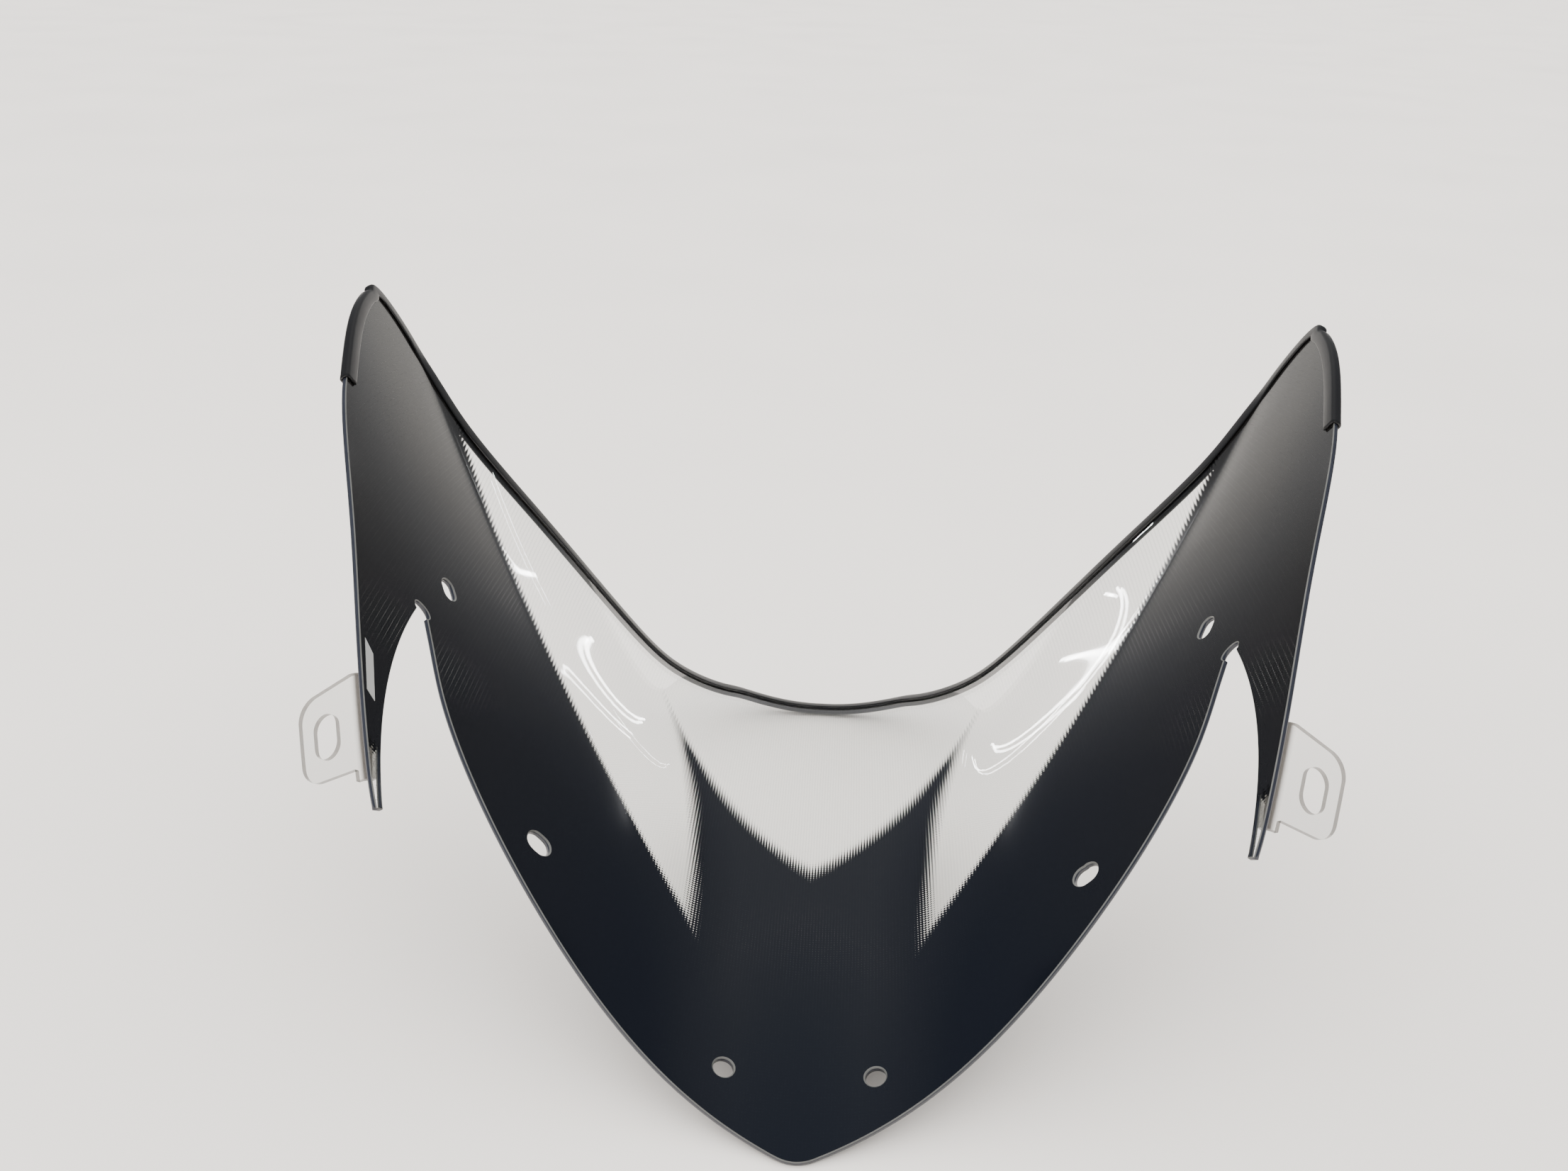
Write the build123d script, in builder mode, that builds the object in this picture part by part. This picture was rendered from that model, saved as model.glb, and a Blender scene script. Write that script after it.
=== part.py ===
from build123d import *
from math import hypot, sqrt
import os

os.makedirs("parts", exist_ok=True)

# Moulded windshield screen, lying on its outer face with the nose towards -Y.
# X is across and Z is up.  Places on the screen are given in plan, as the
# distance from the middle line and "back", the level distance behind the
# nose.  All sizes are in millimetres.

# ---- driving dimensions --------------------------------------------------
SHEET = 3.2                 # polycarbonate thickness
SPAN = 428.0                # nose to the middle of the top edge
SETBACK = 215.0             # nose to the origin, which is under the middle
NOSE_LIFT = 3.1             # inner face above the floor at the nose
TAIL_LIFT = 1.13            # extra height of the inner face at the top edge
ARCH = 27.0                 # rise of the middle line between nose and top edge
BOWL_RADIUS = 147.0         # bend radius across, at the middle line

# Each clear side panel is a flat facet between two straight bend lines.
# They leave one point beside the nose and spread towards the top edge.
APEX_X = 64.0
APEX_BACK = 131.0
OUTER_BEND = 0.771          # widening of the outer bend line per mm back
INNER_BEND = 0.20           # the same for the inner bend line
OUTER_SOFT = 6.0            # half width of the rounding along each bend
INNER_SOFT = 16.0
MIDDLE_SOFT = 20.0

HOLE_RADIUS = 5.2           # two round holes beside the nose
HOLE_AT = (38.4, 43.9)
MIDDLE_SLOT = (15.0, 12.0)  # length over all, width
MIDDLE_SLOT_AT = (144.4, 117.2)
MIDDLE_SLOT_ALONG = (1.0, 0.1)
UPPER_SLOT = (14.0, 9.5)
UPPER_SLOT_AT = (215.4, 227.0)
UPPER_SLOT_ALONG = (0.5, 0.87)
RIM_BEVEL = 0.8             # bevel round each opening on the inner face

TRIM_DEPTH = 7.2            # lips of the rubber channel past the sheet's edge
TRIM_WALL = 1.3
TRIM_GAP = 0.25             # between the sheet and the rubber
TRIM_CORNER = 0.9
TRIM_STATIONS = (6, 8, 20)  # sections along the wing, its corner and half the top edge

TAB_PLATE = 2.5             # clear bracket bonded outside each leg
TAB_FOOT = (0.06, 0.27)     # lower and upper end of the leaf, as shares of the leg's edge
TAB_LEAF = (7.0, 15.0)      # leaf width at those ends
TAB_BEND = 3.5              # inside radius of the bend
TAB_MIDDLE = 0.15           # where the flange's own plane stands, on the same edge
TAB_REACH = 44.0            # flange, outwards from the inner face
TAB_ROOT = (-19.0, 33.0)    # flange along the leg at the bend, from TAB_MIDDLE
TAB_END = (-15.0, 30.0)     # the same at its far end
TAB_CORNER = 12.0
TAB_SLOT = (24.0, 15.0)
TAB_SLOT_AT = (6.0, 27.0)
TAB_STATIONS = 5
BOND = 0.6                  # cement between leaf and leg

LABEL_PLATE = 0.2
GRID = 8.0                  # spacing of the points that carry the moulded face
TALL = 400.0                # higher than the screen, for cutting in plan


# ---- the moulded face ----------------------------------------------------
def soft_step(distance, soft):
    """distance where it is positive, 0 where it is negative, rounded between."""
    return (distance + sqrt(distance**2 + soft**2)) / 2


def face_height(x, back):
    """Height of the inner face over a point of the plan."""
    run = back / SPAN
    middle = NOSE_LIFT + TAIL_LIFT * run + 4 * ARCH * run * (1 - run)
    bowl = x**2 / (2 * BOWL_RADIUS)
    across = hypot(x, MIDDLE_SOFT)
    outer = APEX_X + OUTER_BEND * (back - APEX_BACK)
    inner = APEX_X + INNER_BEND * (back - APEX_BACK)
    facet = soft_step(across - inner, INNER_SOFT) * soft_step(outer - across, OUTER_SOFT)
    return middle + bowl + facet / (2 * BOWL_RADIUS)


def face_point(x, back):
    return Vector(x, back - SETBACK, face_height(x, back))


def lifted(x, back, along):
    """A direction of the plan, laid on the moulded face."""
    step = 0.05
    rise_x = (face_height(x + step, back) - face_height(x - step, back)) / (2 * step)
    rise_y = (face_height(x, back + step) - face_height(x, back - step)) / (2 * step)
    return Vector(along[0], along[1], rise_x * along[0] + rise_y * along[1]).normalized()


def face_plane(x, back, along=(1.0, 0.0)):
    """Plane on the inner face: x along a plan direction, z away from the sheet."""
    normal = lifted(x, back, (1, 0)).cross(lifted(x, back, (0, 1)))
    return Plane(face_point(x, back), x_dir=lifted(x, back, along), z_dir=normal)


def cross_plane(x, back, heading):
    """Plane square to a heading of the plan: x runs into the sheet, y is its normal."""
    on_face = face_plane(x, back, heading)
    return Plane(on_face.origin, x_dir=on_face.y_dir, z_dir=on_face.x_dir)


def section_plane(edge, at):
    """Plane square to an edge of the plan, at a share of its length."""
    foot = edge @ at
    heading = edge % at
    return cross_plane(foot.X, foot.Y + SETBACK, (heading.X, heading.Y))


columns = [GRID * i for i in range(-39, 40)]
rows = [GRID * i for i in range(-1, 55)]
moulded = Face.make_surface_from_array_of_points(
    [[face_point(x, back) for x in columns] for back in rows], tol=0.1, min_deg=3
)

# ---- the cut outline, drawn in plan from the nose -------------------------
def spots(*places):
    """Plan points, given as (across, back)."""
    return [Vector(x, back - SETBACK) for x, back in places]


NOSE_ARC = spots((-9, 1.8), (0, 0), (9, 1.8))
LOWER_EDGE = spots((9, 1.8), (66, 28.5), (138, 80), (199, 149), (216.6, 187.5))
NOTCH_ARC = spots((216.6, 187.5), (219.2, 193), (221.4, 186.5))
LEG_INSIDE = spots((221.4, 186.5), (220.8, 150), (216.6, 110), (203.4, 56))
LEG_TIP = spots((203.4, 56), (205.6, 53))
LEG_OUTSIDE = spots((205.6, 53), (214.7, 75), (231, 123), (253.5, 193), (280, 276))
WING_SIDE = spots((280, 276), (299.4, 388))
WING_CORNER = spots((299.4, 388), (296.6, 403.5), (284, 409))
TOP_EDGE = spots(
    (284, 409), (250, 396.5), (200, 394), (150, 393), (112, 395), (74, 412), (0, SPAN)
)
TRIM_END_HEADING = (0.22, 0.975)
TOP_HEADING = (-1.0, 0.05)  # the two halves of the top edge meet in a very blunt point

with BuildLine() as leg_edge:
    Spline(LEG_OUTSIDE, tangents=((0.5, 1.0), TRIM_END_HEADING))

with BuildLine() as trimmed_edge:
    Spline(WING_SIDE, tangents=(TRIM_END_HEADING, (0.06, 1.0)))
    ThreePointArc(*WING_CORNER)
    Spline(TOP_EDGE, tangents=((-1.0, -0.12), TOP_HEADING))

with BuildSketch() as outline:
    with BuildLine():
        nose = ThreePointArc(*NOSE_ARC)
        Spline(LOWER_EDGE, tangents=(nose % 1, (0.42, 0.9)))
        ThreePointArc(*NOTCH_ARC)
        Spline(LEG_INSIDE)
        Line(*LEG_TIP)
        add(leg_edge)
        add(trimmed_edge)
        mirror(about=Plane.YZ)
    make_face()

with BuildPart() as outline_prism:
    add(outline.sketch)
    extrude(amount=TALL)


# ---- screen ---------------------------------------------------------------
def cut_opening(centre, along, size=None):
    """A slot of that size, or a round hole, bevelled on the inner face."""
    plane = face_plane(*centre, along)
    for start, depth, taper in ((-2 * SHEET, 3 * SHEET, 0), (-RIM_BEVEL, 2 * RIM_BEVEL, -45)):
        with BuildSketch(plane.offset(start)) as opening:
            if size:
                SlotOverall(*size)
            else:
                Circle(HOLE_RADIUS)
        extrude(opening.sketch, amount=depth, taper=taper, mode=Mode.SUBTRACT)


with BuildPart() as windshield_screen:
    thicken(moulded.intersect(outline_prism.part), amount=SHEET)
    for side in (1, -1):
        cut_opening((side * HOLE_AT[0], HOLE_AT[1]), (1, 0))
        cut_opening(
            (side * MIDDLE_SLOT_AT[0], MIDDLE_SLOT_AT[1]),
            (side * MIDDLE_SLOT_ALONG[0], MIDDLE_SLOT_ALONG[1]),
            MIDDLE_SLOT,
        )
        cut_opening(
            (side * UPPER_SLOT_AT[0], UPPER_SLOT_AT[1]),
            (side * UPPER_SLOT_ALONG[0], UPPER_SLOT_ALONG[1]),
            UPPER_SLOT,
        )
windshield_screen.part.label = "windshield_screen"
export_step(windshield_screen.part, "parts/windshield_screen.step")

# ---- rubber trim, a channel pushed on the top edge and the wing tips ------
def trim_planes():
    """Section planes along half the trim, from its end on the wing to the middle."""
    for edge, count in zip(trimmed_edge.edges(), TRIM_STATIONS):
        for i in range(count):
            yield section_plane(edge, i / count)
    yield cross_plane(0, SPAN, (-1, 0))


with BuildPart() as edge_trim:
    groove = SHEET + 2 * TRIM_GAP
    for plane in trim_planes():
        with BuildSketch(plane):
            with Locations((-TRIM_GAP - TRIM_WALL, -SHEET / 2)):
                RectangleRounded(
                    TRIM_DEPTH + TRIM_GAP + TRIM_WALL, groove + 2 * TRIM_WALL, TRIM_CORNER,
                    align=(Align.MIN, Align.CENTER),
                )
            with Locations((-TRIM_GAP, -SHEET / 2)):
                Rectangle(
                    TRIM_DEPTH + 1, groove, align=(Align.MIN, Align.CENTER), mode=Mode.SUBTRACT
                )
    loft(ruled=True)
    mirror(about=Plane.YZ)
edge_trim.part.label = "edge_trim"
export_step(edge_trim.part, "parts/edge_trim.step")

# ---- bonded tabs ----------------------------------------------------------
leg_wire = leg_edge.wires()[0]
flange_plane = section_plane(leg_wire, TAB_MIDDLE)
flange_plane = Plane(flange_plane.origin, x_dir=flange_plane.z_dir, z_dir=flange_plane.x_dir)


def leaf_sections():
    """Plane and leaf width at each station up the leg."""
    for i in range(TAB_STATIONS + 1):
        share = i / TAB_STATIONS
        place = TAB_FOOT[0] + (TAB_FOOT[1] - TAB_FOOT[0]) * share
        yield section_plane(leg_wire, place), TAB_LEAF[0] + (TAB_LEAF[1] - TAB_LEAF[0]) * share


with BuildPart() as right_mount_tab:
    top = -SHEET - BOND
    for plane, leaf in leaf_sections():
        with BuildSketch(plane) as profile:
            with Locations((0, top)):
                Rectangle(leaf, TAB_PLATE, align=(Align.MIN, Align.MAX))
                Rectangle(TAB_PLATE, TAB_REACH, align=(Align.MIN, Align.MAX))
            fillet(profile.vertices().sort_by_distance((0, top))[0], TAB_BEND + TAB_PLATE)
            fillet(profile.vertices().sort_by_distance((TAB_PLATE, top - TAB_PLATE))[0], TAB_BEND)
    loft()
    with BuildSketch(flange_plane) as flange:
        root = SHEET + BOND + TAB_PLATE + TAB_BEND
        with BuildLine():
            Polyline(
                (-TALL, 0), (TALL, 0), (TALL, root), (TAB_ROOT[1], root), (TAB_END[1], TAB_REACH),
                (TAB_END[0], TAB_REACH), (TAB_ROOT[0], root), (-TALL, root), (-TALL, 0),
            )
        make_face()
        fillet(flange.vertices().group_by(Axis.Y)[-1], TAB_CORNER)
    extrude(amount=TALL, both=True, mode=Mode.INTERSECT)
    with BuildSketch(flange_plane):
        with Locations(TAB_SLOT_AT):
            SlotOverall(*TAB_SLOT)
    extrude(amount=3 * TAB_PLATE, both=True, mode=Mode.SUBTRACT)

with BuildPart() as right_bond_layer:
    for plane, leaf in leaf_sections():
        with BuildSketch(plane):
            with Locations((TAB_BEND, -SHEET)):
                Rectangle(leaf - TAB_BEND - BOND, BOND, align=(Align.MIN, Align.MAX))
    loft()

with BuildPart() as left_mount_tab:
    mirror(right_mount_tab.part, about=Plane.YZ)

with BuildPart() as left_bond_layer:
    mirror(right_bond_layer.part, about=Plane.YZ)

right_mount_tab.part.label = "right_mount_tab"
export_step(right_mount_tab.part, "parts/right_mount_tab.step")
left_mount_tab.part.label = "left_mount_tab"
export_step(left_mount_tab.part, "parts/left_mount_tab.step")
right_bond_layer.part.label = "right_bond_layer"
export_step(right_bond_layer.part, "parts/right_bond_layer.step")
left_bond_layer.part.label = "left_bond_layer"
export_step(left_bond_layer.part, "parts/left_bond_layer.step")

# ---- blank label on the inner side of the left leg -------------------------
LABEL_CORNERS = spots((-231, 130), (-226.5, 126.5), (-219.5, 103), (-223.3, 104.5))

with BuildPart() as label_prism:
    with BuildSketch():
        with BuildLine():
            Polyline(LABEL_CORNERS, close=True)
        make_face()
    extrude(amount=TALL)

with BuildPart() as info_label:
    thicken(moulded.intersect(label_prism.part), amount=-LABEL_PLATE)
info_label.part.label = "info_label"
export_step(info_label.part, "parts/info_label.step")
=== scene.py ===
import bpy
import bmesh
import numpy as np
from math import cos, hypot, pi, radians, sin
from mathutils import Matrix, Vector, kdtree
from mathutils.geometry import delaunay_2d_cdt


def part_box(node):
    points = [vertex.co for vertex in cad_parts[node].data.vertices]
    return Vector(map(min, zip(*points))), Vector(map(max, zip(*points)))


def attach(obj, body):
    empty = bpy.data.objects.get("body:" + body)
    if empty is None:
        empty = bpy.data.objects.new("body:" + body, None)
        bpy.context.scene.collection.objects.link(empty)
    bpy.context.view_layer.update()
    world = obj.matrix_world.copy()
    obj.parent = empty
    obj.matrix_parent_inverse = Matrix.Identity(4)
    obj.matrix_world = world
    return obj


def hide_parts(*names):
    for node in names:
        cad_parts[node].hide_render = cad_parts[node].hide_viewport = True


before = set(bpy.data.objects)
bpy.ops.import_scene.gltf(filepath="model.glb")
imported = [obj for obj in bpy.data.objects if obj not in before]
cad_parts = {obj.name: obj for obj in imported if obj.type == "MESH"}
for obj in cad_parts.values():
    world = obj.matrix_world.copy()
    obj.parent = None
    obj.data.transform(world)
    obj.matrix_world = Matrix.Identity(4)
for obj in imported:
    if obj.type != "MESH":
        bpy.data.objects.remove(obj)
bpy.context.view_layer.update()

# Lengths are in millimetres until a mesh is made, in the frame of the packed
# model.  A place on the screen is (x, y) in plan, with x across.
MM = 0.001
SHEET = 3.2                 # thickness of the screen
SPAN = 428.0                # nose to the middle of the top edge
SETBACK = 215.0             # nose to the origin
NOSE_LIFT = 3.1             # inner face above the floor at the nose
TAIL_LIFT = 1.13            # extra height of the inner face at the top edge
ARCH = 27.0                 # rise of the middle line between nose and top edge
BOWL = 294.0                # twice the bend radius across, at the middle line
MIDDLE_SOFT = 20.0

# Each clear side panel is flat, between two bend lines that leave one point.
APEX_X = 64.0
APEX_BACK = 131.0
OUTER_WIDENING = 0.771      # widening of the outer bend line per mm back
INNER_WIDENING = 0.20       # the same for the inner bend line
INNER_SOFT = 16.0           # half width of the rounding along the inner bend
OUTER_SOFT = 3.5
CAD_OUTER_SOFT = 6.0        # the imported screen's outer bends are a little softer than the real ones

GRID = 5.0                  # spacing of the points that carry the moulded face
EDGE_BEVEL = 0.5
OPENING_BEVEL = 0.8

TRIM_WALL = 1.3
TRIM_GAP = 0.25             # between the sheet and the rubber
TRIM_DEPTH = 7.2            # lips of the rubber channel past the sheet's edge

# The printed mask: the clear window's lower end on each side, and its fade.
WINDOW_X = 65.0
WINDOW_BACK = 128.0
DOT_PITCH = 1.7


# ---- the moulded face, as it was designed ---------------------------------
def soft_step(distance, soft):
    return (distance + np.sqrt(distance**2 + soft**2)) / 2


def bend_line(y, widening):
    """Distance of a bend from the middle."""
    return APEX_X + widening * (y + SETBACK - APEX_BACK)


def face_height(x, y, outer_soft=OUTER_SOFT):
    """Height of the screen's inner face."""
    run = (y + SETBACK) / SPAN
    middle = NOSE_LIFT + TAIL_LIFT * run + 4 * ARCH * run * (1 - run)
    across = np.sqrt(x**2 + MIDDLE_SOFT**2)
    from_inner = across - bend_line(y, INNER_WIDENING)
    from_outer = bend_line(y, OUTER_WIDENING) - across
    facet = soft_step(from_inner, INNER_SOFT) * soft_step(from_outer, outer_soft)
    return middle + (x**2 + facet) / BOWL


def face_points(plan):
    return np.column_stack([plan, face_height(plan[:, 0], plan[:, 1])])


def face_normals(plan):
    x, y = plan[:, 0], plan[:, 1]
    step = 0.05
    rise_x = (face_height(x + step, y) - face_height(x - step, y)) / (2 * step)
    rise_y = (face_height(x, y + step) - face_height(x, y - step)) / (2 * step)
    normals = np.column_stack([-rise_x, -rise_y, np.ones_like(x)])
    return normals / np.linalg.norm(normals, axis=1)[:, None]


# ---- outlines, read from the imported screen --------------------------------
def inner_loops(node):
    """Closed outlines of the inner face, in plan: the screen's own, then its openings."""
    shape = bmesh.new()
    shape.from_mesh(node.data)
    bmesh.ops.remove_doubles(shape, verts=shape.verts, dist=1e-6)

    def on_face(vertex):
        x, y, z = vertex.co / MM
        return abs(z - face_height(x, y, CAD_OUTER_SOFT)) < 0.5

    inner = {f for f in shape.faces if f.normal.z > 0 and all(on_face(v) for v in f.verts)}
    rim = [e for e in shape.edges if sum(f in inner for f in e.link_faces) == 1]
    links = {}
    for edge in rim:
        a, b = edge.verts
        links.setdefault(a, []).append(b)
        links.setdefault(b, []).append(a)
    loops = []
    while links:
        start = next(iter(links))
        chain = [start]
        here = links.pop(start)[0]
        while here != start:
            chain.append(here)
            following = [v for v in links.pop(here) if v in links or v == start]
            here = next((v for v in following if v != chain[-2]), start)
        loops.append(np.array([v.co.xy for v in chain]) / MM)
    shape.free()
    loops.sort(key=lambda loop: -np.ptp(loop[:, 0]))
    return loops


def turned(loop, anticlockwise):
    x, y = loop[:, 0], loop[:, 1]
    area = np.sum(x * np.roll(y, -1) - np.roll(x, -1) * y)
    return loop if (area > 0) == anticlockwise else loop[::-1]


def refined(loop, spacing, corner):
    """The loop with more points, on a curve through the old ones that keeps its corners."""
    ahead = np.roll(loop, -1, 0) - loop
    length = np.linalg.norm(ahead, axis=1)
    heading = ahead / length[:, None]
    before = np.roll(heading, 1, 0)
    before_length = np.roll(length, 1)
    sideways = before[:, 0] * heading[:, 1] - before[:, 1] * heading[:, 0]
    turn = np.abs(np.arctan2(sideways, np.sum(before * heading, axis=1)))
    tangent = before * length[:, None] + heading * before_length[:, None]
    tangent /= np.linalg.norm(tangent, axis=1)[:, None]
    sharp = turn > corner
    points = []
    for i in range(len(loop)):
        j = (i + 1) % len(loop)
        leave = heading[i] if sharp[i] else tangent[i]
        arrive = heading[i] if sharp[j] else tangent[j]
        count = max(1, int(np.ceil(length[i] / spacing)))
        for t in np.arange(count) / count:
            h1, h2 = 2 * t**3 - 3 * t**2 + 1, t**3 - 2 * t**2 + t
            h3, h4 = 3 * t**2 - 2 * t**3, t**3 - t**2
            points.append(h1 * loop[i] + h2 * length[i] * leave + h3 * loop[j] + h4 * length[i] * arrive)
    return np.array(points)


def rim_frames(loop):
    """Point, direction into the sheet and normal at each point of a loop."""
    points = face_points(loop)
    normals = face_normals(loop)
    along = np.roll(points, -1, 0) - np.roll(points, 1, 0)
    inward = np.cross(normals, along)
    inward /= np.linalg.norm(inward, axis=1)[:, None]
    return points, inward, normals


def at_rim(frames, into, up):
    points, inward, normals = frames
    return points + into * inward + up * normals


# ---- building meshes -------------------------------------------------------
def make_piece(name, points, faces, materials, stands_for, slots=None):
    mesh = bpy.data.meshes.new(name)
    mesh.from_pydata([tuple(p) for p in np.asarray(points) * MM], [], faces)
    for material in materials:
        mesh.materials.append(material)
    if slots is not None:
        mesh.polygons.foreach_set("material_index", slots)
    mesh.polygons.foreach_set("use_smooth", [True] * len(faces))
    mesh.update()
    piece = bpy.data.objects.new(name, mesh)
    bpy.context.scene.collection.objects.link(piece)
    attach(piece, "root")
    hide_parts(stands_for)
    return piece


def is_inside(x, y, loop):
    """Whether a place of the plan lies within a closed loop."""
    here, ahead = loop, np.roll(loop, -1, 0)
    crosses = (here[:, 1] > y) != (ahead[:, 1] > y)
    here, ahead = here[crosses], ahead[crosses]
    at = here[:, 0] + (y - here[:, 1]) / (ahead[:, 1] - here[:, 1]) * (ahead[:, 0] - here[:, 0])
    return np.count_nonzero(at > x) % 2 == 1


def is_on_sheet(x, y, loops):
    return is_inside(x, y, loops[0]) and not any(is_inside(x, y, loop) for loop in loops[1:])


def grid_points(loops, step):
    """Points of the plan on the sheet, closer together along the bends."""
    near = kdtree.KDTree(sum(len(loop) for loop in loops))
    for i, (x, y) in enumerate(np.vstack(loops)):
        near.insert((x, y, 0), i)
    near.balance()
    low, high = loops[0].min(0), loops[0].max(0)
    points = []
    for size, wanted in ((step, False), (step / 2, True)):
        for row, y in enumerate(np.arange(low[1], high[1], size * 0.866)):
            for x in np.arange(low[0] + (row % 2) * size / 2, high[0], size):
                bend = abs(bend_line(y, OUTER_WIDENING) - hypot(x, MIDDLE_SOFT)) < 2.5 * step
                spaced = near.find((x, y, 0))[2] > size * 0.45
                if bend == wanted and spaced and is_on_sheet(x, y, loops):
                    points.append((x, y))
    return points


def sheet_mesh(outline, openings):
    """Points, faces and material slots of the whole moulded sheet."""
    edge = rim_frames(outline)
    rims = [rim_frames(loop) for loop in openings]
    loops = [at_rim(edge, EDGE_BEVEL, 0)[:, :2]] + openings
    plan = [tuple(p) for loop in loops for p in loop]
    links, first = [], 0
    for loop in loops:
        links += [(first + i, first + (i + 1) % len(loop)) for i in range(len(loop))]
        first += len(loop)
    plan += grid_points(loops, GRID)
    flat, _, tris, origins, _, _ = delaunay_2d_cdt([Vector(p) for p in plan], links, [], 1, 1e-4)
    place = {old: new for new, olds in enumerate(origins) for old in olds}
    flat = np.array(flat)
    starts = np.cumsum([0] + [len(loop) for loop in loops])
    rings = [[place[i] for i in range(a, b)] for a, b in zip(starts, starts[1:])]
    hole_of = {v: k for k, ring in enumerate(rings[1:]) for v in ring}
    tris = [t for t in tris if len({hole_of.get(v, -1 - v) for v in t}) > 1]

    def faces_up(tri):
        first, second, third = flat[list(tri)]
        return np.cross(second - first, third - first) > 0

    up = [t if faces_up(t) else t[::-1] for t in tris]
    inner = face_points(flat)
    count = len(inner)
    points = [inner, inner - SHEET * face_normals(flat)]
    faces = [tuple(t) for t in up] + [tuple(v + count for v in t[::-1]) for t in up]
    slots = [0] * len(faces)
    total = 2 * count
    edge_profile = (0, -EDGE_BEVEL), (0, EDGE_BEVEL - SHEET)
    opening_profile = (-OPENING_BEVEL, -OPENING_BEVEL), (-OPENING_BEVEL, 0.1 - SHEET)
    profiles = [edge_profile] + [opening_profile] * len(rims)
    for ring, frames, profile in zip(rings, [edge] + rims, profiles):
        size = len(ring)
        steps = [ring]
        for into, rise in profile:
            points.append(at_rim(frames, into, rise))
            steps.append(list(range(total, total + size)))
            total += size
        steps.append([v + count for v in ring])
        for k, (above, below) in enumerate(zip(steps, steps[1:])):
            for i in range(size):
                j = (i + 1) % size
                faces.append((above[i], below[i], below[j], above[j]))
                slots.append(2 if k == 1 else 1)
    return np.vstack(points), faces, slots, flat


def finish_normals(piece, flat):
    """The two faces shade as the true moulded surface; bevels and walls stay crisp."""
    mesh = piece.data
    normals = face_normals(flat)
    count = len(flat)
    custom = []
    for polygon in mesh.polygons:
        for vertex in polygon.vertices:
            if polygon.material_index:
                custom.append((0, 0, 0))
            elif vertex < count:
                custom.append(normals[vertex])
            else:
                custom.append(-normals[vertex - count])
    mesh.normals_split_custom_set(custom)


# ---- materials --------------------------------------------------------------
class Shader:
    """A material's node tree, with short calls to add nodes to it."""

    def __init__(self, name):
        self.material = bpy.data.materials.new(name)
        self.material.use_nodes = True
        self.tree = self.material.node_tree
        self.tree.nodes.clear()

    @classmethod
    def on(cls, tree):
        shader = cls.__new__(cls)
        shader.tree = tree
        return shader

    def add(self, kind, links=None, **settings):
        node = self.tree.nodes.new("ShaderNode" + kind)
        for key, value in settings.items():
            setattr(node, key, value)
        for key, value in (links or {}).items():
            socket = node.inputs[key]
            if isinstance(value, bpy.types.NodeSocket):
                self.tree.links.new(value, socket)
            else:
                socket.default_value = value
        return node

    def math(self, operation, a, b=0.0, clamp=False):
        return self.add("Math", {0: a, 1: b}, operation=operation, use_clamp=clamp).outputs[0]

    def mix(self, factor, a, b):
        return self.add("Mix", {0: factor, 6: a, 7: b}, data_type="RGBA").outputs[2]

    def line(self, value, slope, start, clamp=False):
        """value * slope + start."""
        links = {0: value, 1: slope, 2: start}
        return self.add("Math", links, operation="MULTIPLY_ADD", use_clamp=clamp).outputs[0]

    def blend(self, factor, a, b):
        return self.add("MixShader", {0: factor, 1: a, 2: b}).outputs[0]

    def noise(self, scale, detail=4.0):
        place = self.add("TexCoord").outputs["Object"]
        links = {"Vector": place, "Scale": scale, "Detail": detail}
        return self.add("TexNoise", links).outputs["Fac"]

    def remap(self, value, low, high, to_low, to_high):
        links = {0: value, 1: low, 2: high, 3: to_low, 4: to_high}
        return self.add("MapRange", links).outputs[0]

    def done(self, surface):
        self.add("OutputMaterial", {"Surface": surface})
        return self.material


def clear_surface(s, tint, roughness=0.01):
    """One face of a clear sheet: a reflection over whatever lies behind."""
    through = s.add("BsdfTransparent", {"Color": tint}).outputs[0]
    gloss = s.add("BsdfAnisotropic", {"Color": (1, 1, 1, 1), "Roughness": roughness}).outputs[0]
    grazing = s.add("LayerWeight", {"Blend": 0.5}).outputs["Facing"]
    share = s.line(s.math("POWER", grazing, 5.0), 0.95, 0.05)
    return s.blend(share, through, gloss)


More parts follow.
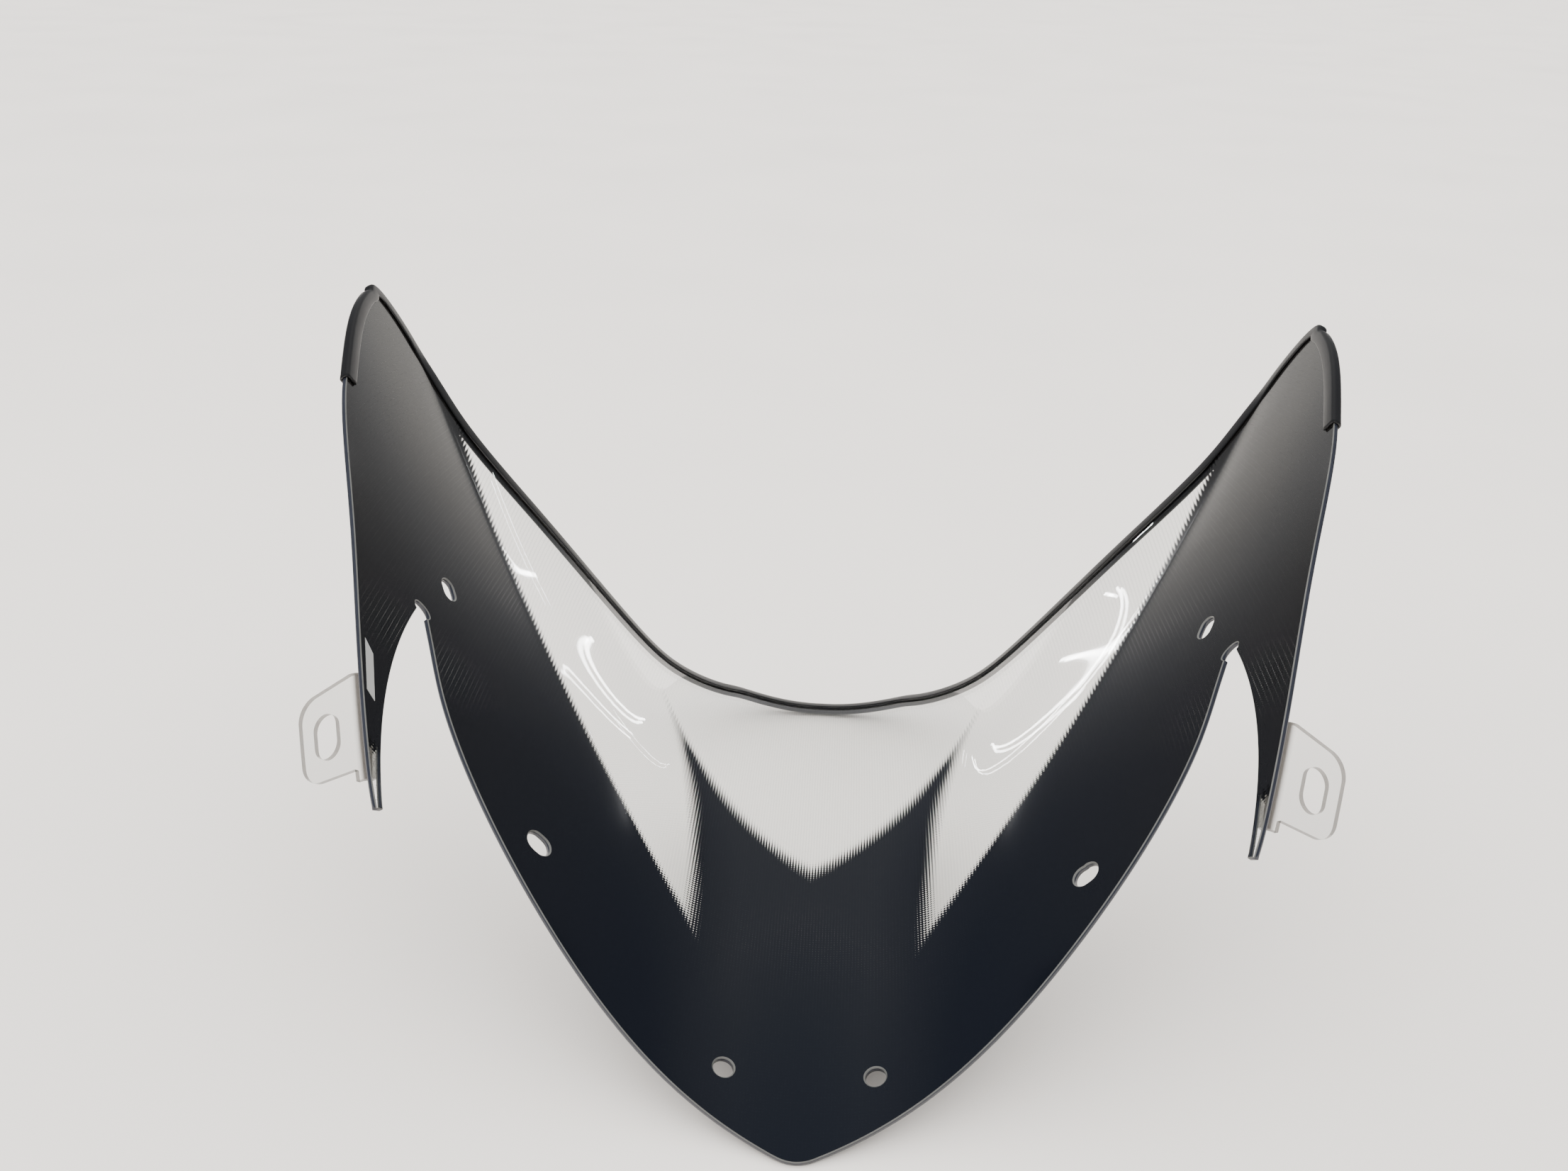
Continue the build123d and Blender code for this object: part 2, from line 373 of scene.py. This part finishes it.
def screen_material():
    s = Shader("screen_plastic")
    x, y, z = s.add("SeparateXYZ", {0: s.add("TexCoord").outputs["Object"]}).outputs
    x = s.math("MULTIPLY", s.math("ABSOLUTE", x), 1 / MM)
    back = s.math("ADD", s.math("MULTIPLY", y, 1 / MM), SETBACK)
    # The clear window ends at the bend line, and at a prong on each side of the middle.
    ahead = s.math("SUBTRACT", back, WINDOW_BACK)
    print_line = s.line(ahead, 0.7317, WINDOW_X)
    beside_trim = s.remap(back, 335.0, 395.0, 0.0, 5.0)
    from_bend = s.math("DIVIDE", s.math("SUBTRACT", print_line, x), 1.24)
    from_bend = s.math("SUBTRACT", from_bend, beside_trim)
    prong_line = s.line(s.math("MULTIPLY", ahead, ahead), 0.000865, WINDOW_X)
    from_prong = s.math("SUBTRACT", x, prong_line)
    middle_line = s.math("MULTIPLY", x, s.math("ADD", s.math("MULTIPLY", x, 0.006), 0.65))
    from_middle = s.math("SUBTRACT", s.math("SUBTRACT", back, 190.5), middle_line)
    from_middle = s.math("DIVIDE", from_middle, 1.5)
    from_mask = s.math("MAXIMUM", from_prong, from_middle)
    window = s.math("MINIMUM", s.math("DIVIDE", from_bend, 6.0), s.math("DIVIDE", from_mask, 13.0))
    # The tips of the legs are left clear too.
    tip = s.math("MINIMUM", s.math("SUBTRACT", 82.0, back), s.math("SUBTRACT", x, 185.0))
    window = s.math("MAXIMUM", window, s.math("DIVIDE", tip, 5.0))
    cover = s.math("SUBTRACT", 0.5, window, clamp=True)
    # Round dots on a square lattice make the fade.
    waves = [s.math("COSINE", s.math("MULTIPLY", v, 2 * pi / DOT_PITCH)) for v in (x, back)]
    dots = s.line(s.math("ADD", *waves), 0.25, 0.5)
    printed = s.line(s.math("SUBTRACT", cover, dots), 5.0, 0.5, clamp=True)
    # The ink turns lighter and browner towards the top of the wings: painted reflection.
    height = s.remap(z, 0.05, 0.25, 0.0, 1.0)
    ink_and_painted_reflection = s.mix(height, (0.0022, 0.0032, 0.0060, 1), (0.0055, 0.0050, 0.0046, 1))
    rough = s.remap(s.noise(16.0, 6.0), 0.45, 0.7, 0.11, 0.13)
    links = {"Base Color": ink_and_painted_reflection, "Roughness": rough, "IOR": 1.58}
    black = s.add("BsdfPrincipled", links).outputs[0]
    return s.done(s.blend(printed, clear_surface(s, (0.993, 0.998, 0.995, 1)), black))


def plain_material(name, colour, roughness, variation=0.2, scale=60.0):
    """A solid colour and roughness that vary a little."""
    s = Shader(name)
    grain = s.noise(scale)
    darker = tuple(c * (1 - variation) for c in colour)
    lighter = tuple(min(1, c * (1 + variation)) for c in colour)
    shade = s.mix(grain, (*darker, 1), (*lighter, 1))
    rough = s.remap(grain, 0.3, 0.7, roughness * 0.85, min(1, roughness * 1.15))
    links = {"Base Color": shade, "Roughness": rough, "IOR": 1.5}
    return s.done(s.add("BsdfPrincipled", links).outputs[0])


def clear_material(name, tint, roughness):
    s = Shader(name)
    return s.done(clear_surface(s, tint, roughness))


def bent_tab_material(node):
    """Clear plate whose bend, leaf and cut edges take a darker tint than its flat flange: painted shade
    for their dark reflections.
    """
    flange = max(node.data.polygons, key=lambda polygon: polygon.area)
    s = Shader("clear_plastic_" + node.name)
    normal = s.add("TexCoord").outputs["Normal"]
    ends = {0: normal, 1: flange.normal}
    facing = s.add("VectorMath", ends, operation="DOT_PRODUCT").outputs["Value"]
    # Faces turned away from the flange get a darker tint: painted shade.
    painted_shade_turned_away = s.remap(s.math("ABSOLUTE", facing), 0.75, 0.98, 1.0, 0.0)
    tint = s.mix(painted_shade_turned_away, (0.975, 0.978, 0.975, 1), (0.35, 0.34, 0.33, 1))
    return s.done(clear_surface(s, tint, 0.03))


screen_plastic = screen_material()
# The bevels' light grey is partly the milled plastic's frost and partly painted light for what the clear
# plastic passes.
edge_bevel_frost_and_painted_light = plain_material("edge_bevel_frost_and_painted_light", (0.10, 0.10, 0.093), 0.3)
# The cut walls are near-black: painted reflection of the print inside the sheet.
edge_wall_painted_reflection = plain_material("edge_wall_painted_reflection", (0.02, 0.022, 0.03), 0.2)
trim_rubber = plain_material("trim_rubber", (0.006, 0.006, 0.0065), 0.36, 0.15, 25.0)
bond_cement = clear_material("bond_cement", (0.85, 0.86, 0.85, 1), 0.2)
label_film = plain_material("label_film", (0.27, 0.27, 0.26), 0.55, 0.06, 40.0)

# ---- the screen -------------------------------------------------------------
loops = inner_loops(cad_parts["windshield_screen"])
outline = refined(turned(loops[0], True), 2.0, radians(24))
openings = [refined(turned(loop, False), 0.7, radians(60)) for loop in loops[1:]]
points, faces, slots, flat = sheet_mesh(outline, openings)
screen = make_piece(
    "moulded_sheet", points, faces, [screen_plastic, edge_bevel_frost_and_painted_light, edge_wall_painted_reflection],
    "windshield_screen", slots,
)
finish_normals(screen, flat)


# ---- rubber trim --------------------------------------------------------------
def rounded(corners):
    """Closed outline with its corners rounded: corners are (x, y, radius)."""
    points = []
    for i, (x, y, radius) in enumerate(corners):
        here = np.array((x, y))
        before = np.array(corners[i - 1][:2]) - here
        after = np.array(corners[(i + 1) % len(corners)][:2]) - here
        start = here + before / np.linalg.norm(before) * radius
        end = here + after / np.linalg.norm(after) * radius
        for t in np.linspace(0, 1, 5):
            points.append((1 - t) ** 2 * start + 2 * t * (1 - t) * here + t**2 * end)
    return points


def trim_piece():
    """The rubber channel, swept along the trimmed part of the outline."""
    low, high, back = -SHEET - TRIM_GAP - TRIM_WALL, TRIM_GAP + TRIM_WALL, -TRIM_GAP - TRIM_WALL
    floor_of_groove = low + TRIM_WALL
    profile = rounded([
        (back, low, 2.2), (TRIM_DEPTH, low, 0.6),
        (TRIM_DEPTH, floor_of_groove, 0.4), (-TRIM_GAP, floor_of_groove, 0.3),
        (-TRIM_GAP, TRIM_GAP, 0.3), (TRIM_DEPTH, TRIM_GAP, 0.4),
        (TRIM_DEPTH, high, 0.6), (back, high, 2.2),
    ])
    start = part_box("edge_trim")[0].y / MM + 1.0
    inside = outline[:, 1] > start
    first = next(i for i in range(len(outline)) if inside[i] and not inside[i - 1])
    path = np.roll(outline, -first, 0)
    frames = [part[:np.count_nonzero(inside)] for part in rim_frames(path)]
    rings = [at_rim(frames, into, up) for into, up in profile]
    points = np.stack(rings, 1).reshape(-1, 3)
    size, count = len(profile), len(frames[0])
    faces = [tuple(range(size))[::-1], tuple(range((count - 1) * size, count * size))]
    for i in range(count - 1):
        for j in range(size):
            k = (j + 1) % size
            faces.append((i * size + j, i * size + k, (i + 1) * size + k, (i + 1) * size + j))
    make_piece("rubber_trim", points, faces, [trim_rubber], "edge_trim")


trim_piece()


# ---- carried-over parts -----------------------------------------------------
def dress(node, material):
    node.data.materials.clear()
    node.data.materials.append(material)


for side in ("left", "right"):
    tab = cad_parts[side + "_mount_tab"]
    dress(tab, bent_tab_material(tab))
    dress(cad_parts[side + "_bond_layer"], bond_cement)
dress(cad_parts["info_label"], label_film)

# ---- floor, lights and camera -------------------------------------------------
floor_mesh = bpy.data.meshes.new("floor")
FLOOR = 12.0                # half its width, in metres
corners = [(-FLOOR, -FLOOR, 0), (FLOOR, -FLOOR, 0), (FLOOR, FLOOR, 0), (-FLOOR, FLOOR, 0)]
floor_mesh.from_pydata(corners, [], [(0, 1, 2, 3)])
floor = bpy.data.objects.new("floor", floor_mesh)
bpy.context.scene.collection.objects.link(floor)
floor_mesh.materials.append(plain_material("floor_paper", (0.835, 0.785, 0.73), 0.7, 0.02, 3.0))


def add_tube(start, end, lit):
    """A thin bare lamp between two places, turned to the screen, lighting one collection."""
    along = end - start
    light = bpy.data.lights.new("tube", "AREA")
    light.shape = "RECTANGLE"
    light.size, light.size_y = TUBE_WIDTH, along.length
    light.energy = TUBE_POWER * along.length
    lamp = bpy.data.objects.new("tube", light)
    place = (start + end) / 2
    out = (place - TUBE_TARGET).normalized()
    across = along.cross(out).normalized()
    turn = Matrix((across, out.cross(across), out)).transposed().to_4x4()
    lamp.matrix_world = Matrix.Translation(place) @ turn
    lamp.visible_camera = False
    lamp.light_linking.receiver_collection = lit
    bpy.context.scene.collection.objects.link(lamp)


sun = bpy.data.lights.new("soft_sun", "SUN")
sun.angle = radians(160)
sun.energy = 9.0
daylight = bpy.data.objects.new("soft_sun", sun)
daylight.rotation_euler = (radians(-14), radians(-20), 0)
daylight.visible_glossy = False
bpy.context.scene.collection.objects.link(daylight)

# Bare lamp tubes show as thin streaks in the clear panels.  Each is a line of
# places (x, z), in metres, on a wall far behind the screen.
WALL = 6.0
TUBE_WIDTH = 0.005
TUBE_POWER = 0.9            # watts for each metre
TUBE_TARGET = Vector((0, 0, 0.1))
lit = bpy.data.collections.new("lit_by_tubes")
lit.objects.link(screen)
for tube in (
    ((3.10, 1.66), (3.50, 1.90), (4.10, 2.74)),
    ((3.46, 1.75), (2.95, 1.03)),
    ((-2.84, 1.00), (-3.08, 1.31), (-3.92, 2.36)),
    ((-3.92, 2.36), (-3.03, 1.06)),
    ((-2.60, 0.90), (-2.77, 1.17)),
):
    for (x0, z0), (x1, z1) in zip(tube, tube[1:]):
        add_tube(Vector((x0, WALL, z0)), Vector((x1, WALL, z1)), lit)

# The studio is bright low down at the far end, and dim overhead and to the sides.
world = bpy.data.worlds.new("studio")
world.use_nodes = True
sky = Shader.on(world.node_tree)
across, _, height = sky.add("SeparateXYZ", {0: sky.add("TexCoord").outputs["Generated"]}).outputs
ramp = sky.add("ValToRGB", {"Fac": height})
ramp.color_ramp.elements[0].position = 0.03
ramp.color_ramp.elements[0].color = (1.0, 0.97, 0.92, 1)
ramp.color_ramp.elements[1].color = (0.22, 0.24, 0.27, 1)
for level, tone in ((0.06, 0.80), (0.10, 0.50), (0.20, 0.30), (0.75, 0.44)):
    ramp.color_ramp.elements.new(level).color = (tone, tone, tone, 1)
aside = sky.remap(sky.math("ABSOLUTE", across), 0.30, 0.60, 0.0, 1.0)
tone = sky.mix(aside, ramp.outputs["Color"], (0.15, 0.155, 0.17, 1))
sky.tree.links.new(tone, sky.tree.nodes["Background"].inputs["Color"])
bpy.context.scene.world = world

yaw, pitch, roll = radians(-2.3), radians(26.0), radians(1.85)
forward = Vector((sin(yaw) * cos(pitch), cos(yaw) * cos(pitch), -sin(pitch)))
level = Vector((cos(yaw), -sin(yaw), 0))
upward = level.cross(forward)
right = cos(roll) * level + sin(roll) * upward
upward = cos(roll) * upward - sin(roll) * level
camera_data = bpy.data.cameras.new("camera")
camera_data.sensor_width = 36.0
camera_data.lens = 32.55
camera_data.clip_end = 50
camera = bpy.data.objects.new("camera", camera_data)
turn = Matrix((right, upward, -forward)).transposed().to_4x4()
camera.matrix_world = Matrix.Translation((0.00585, -0.708, 0.5531)) @ turn
bpy.context.scene.collection.objects.link(camera)
bpy.context.scene.camera = camera
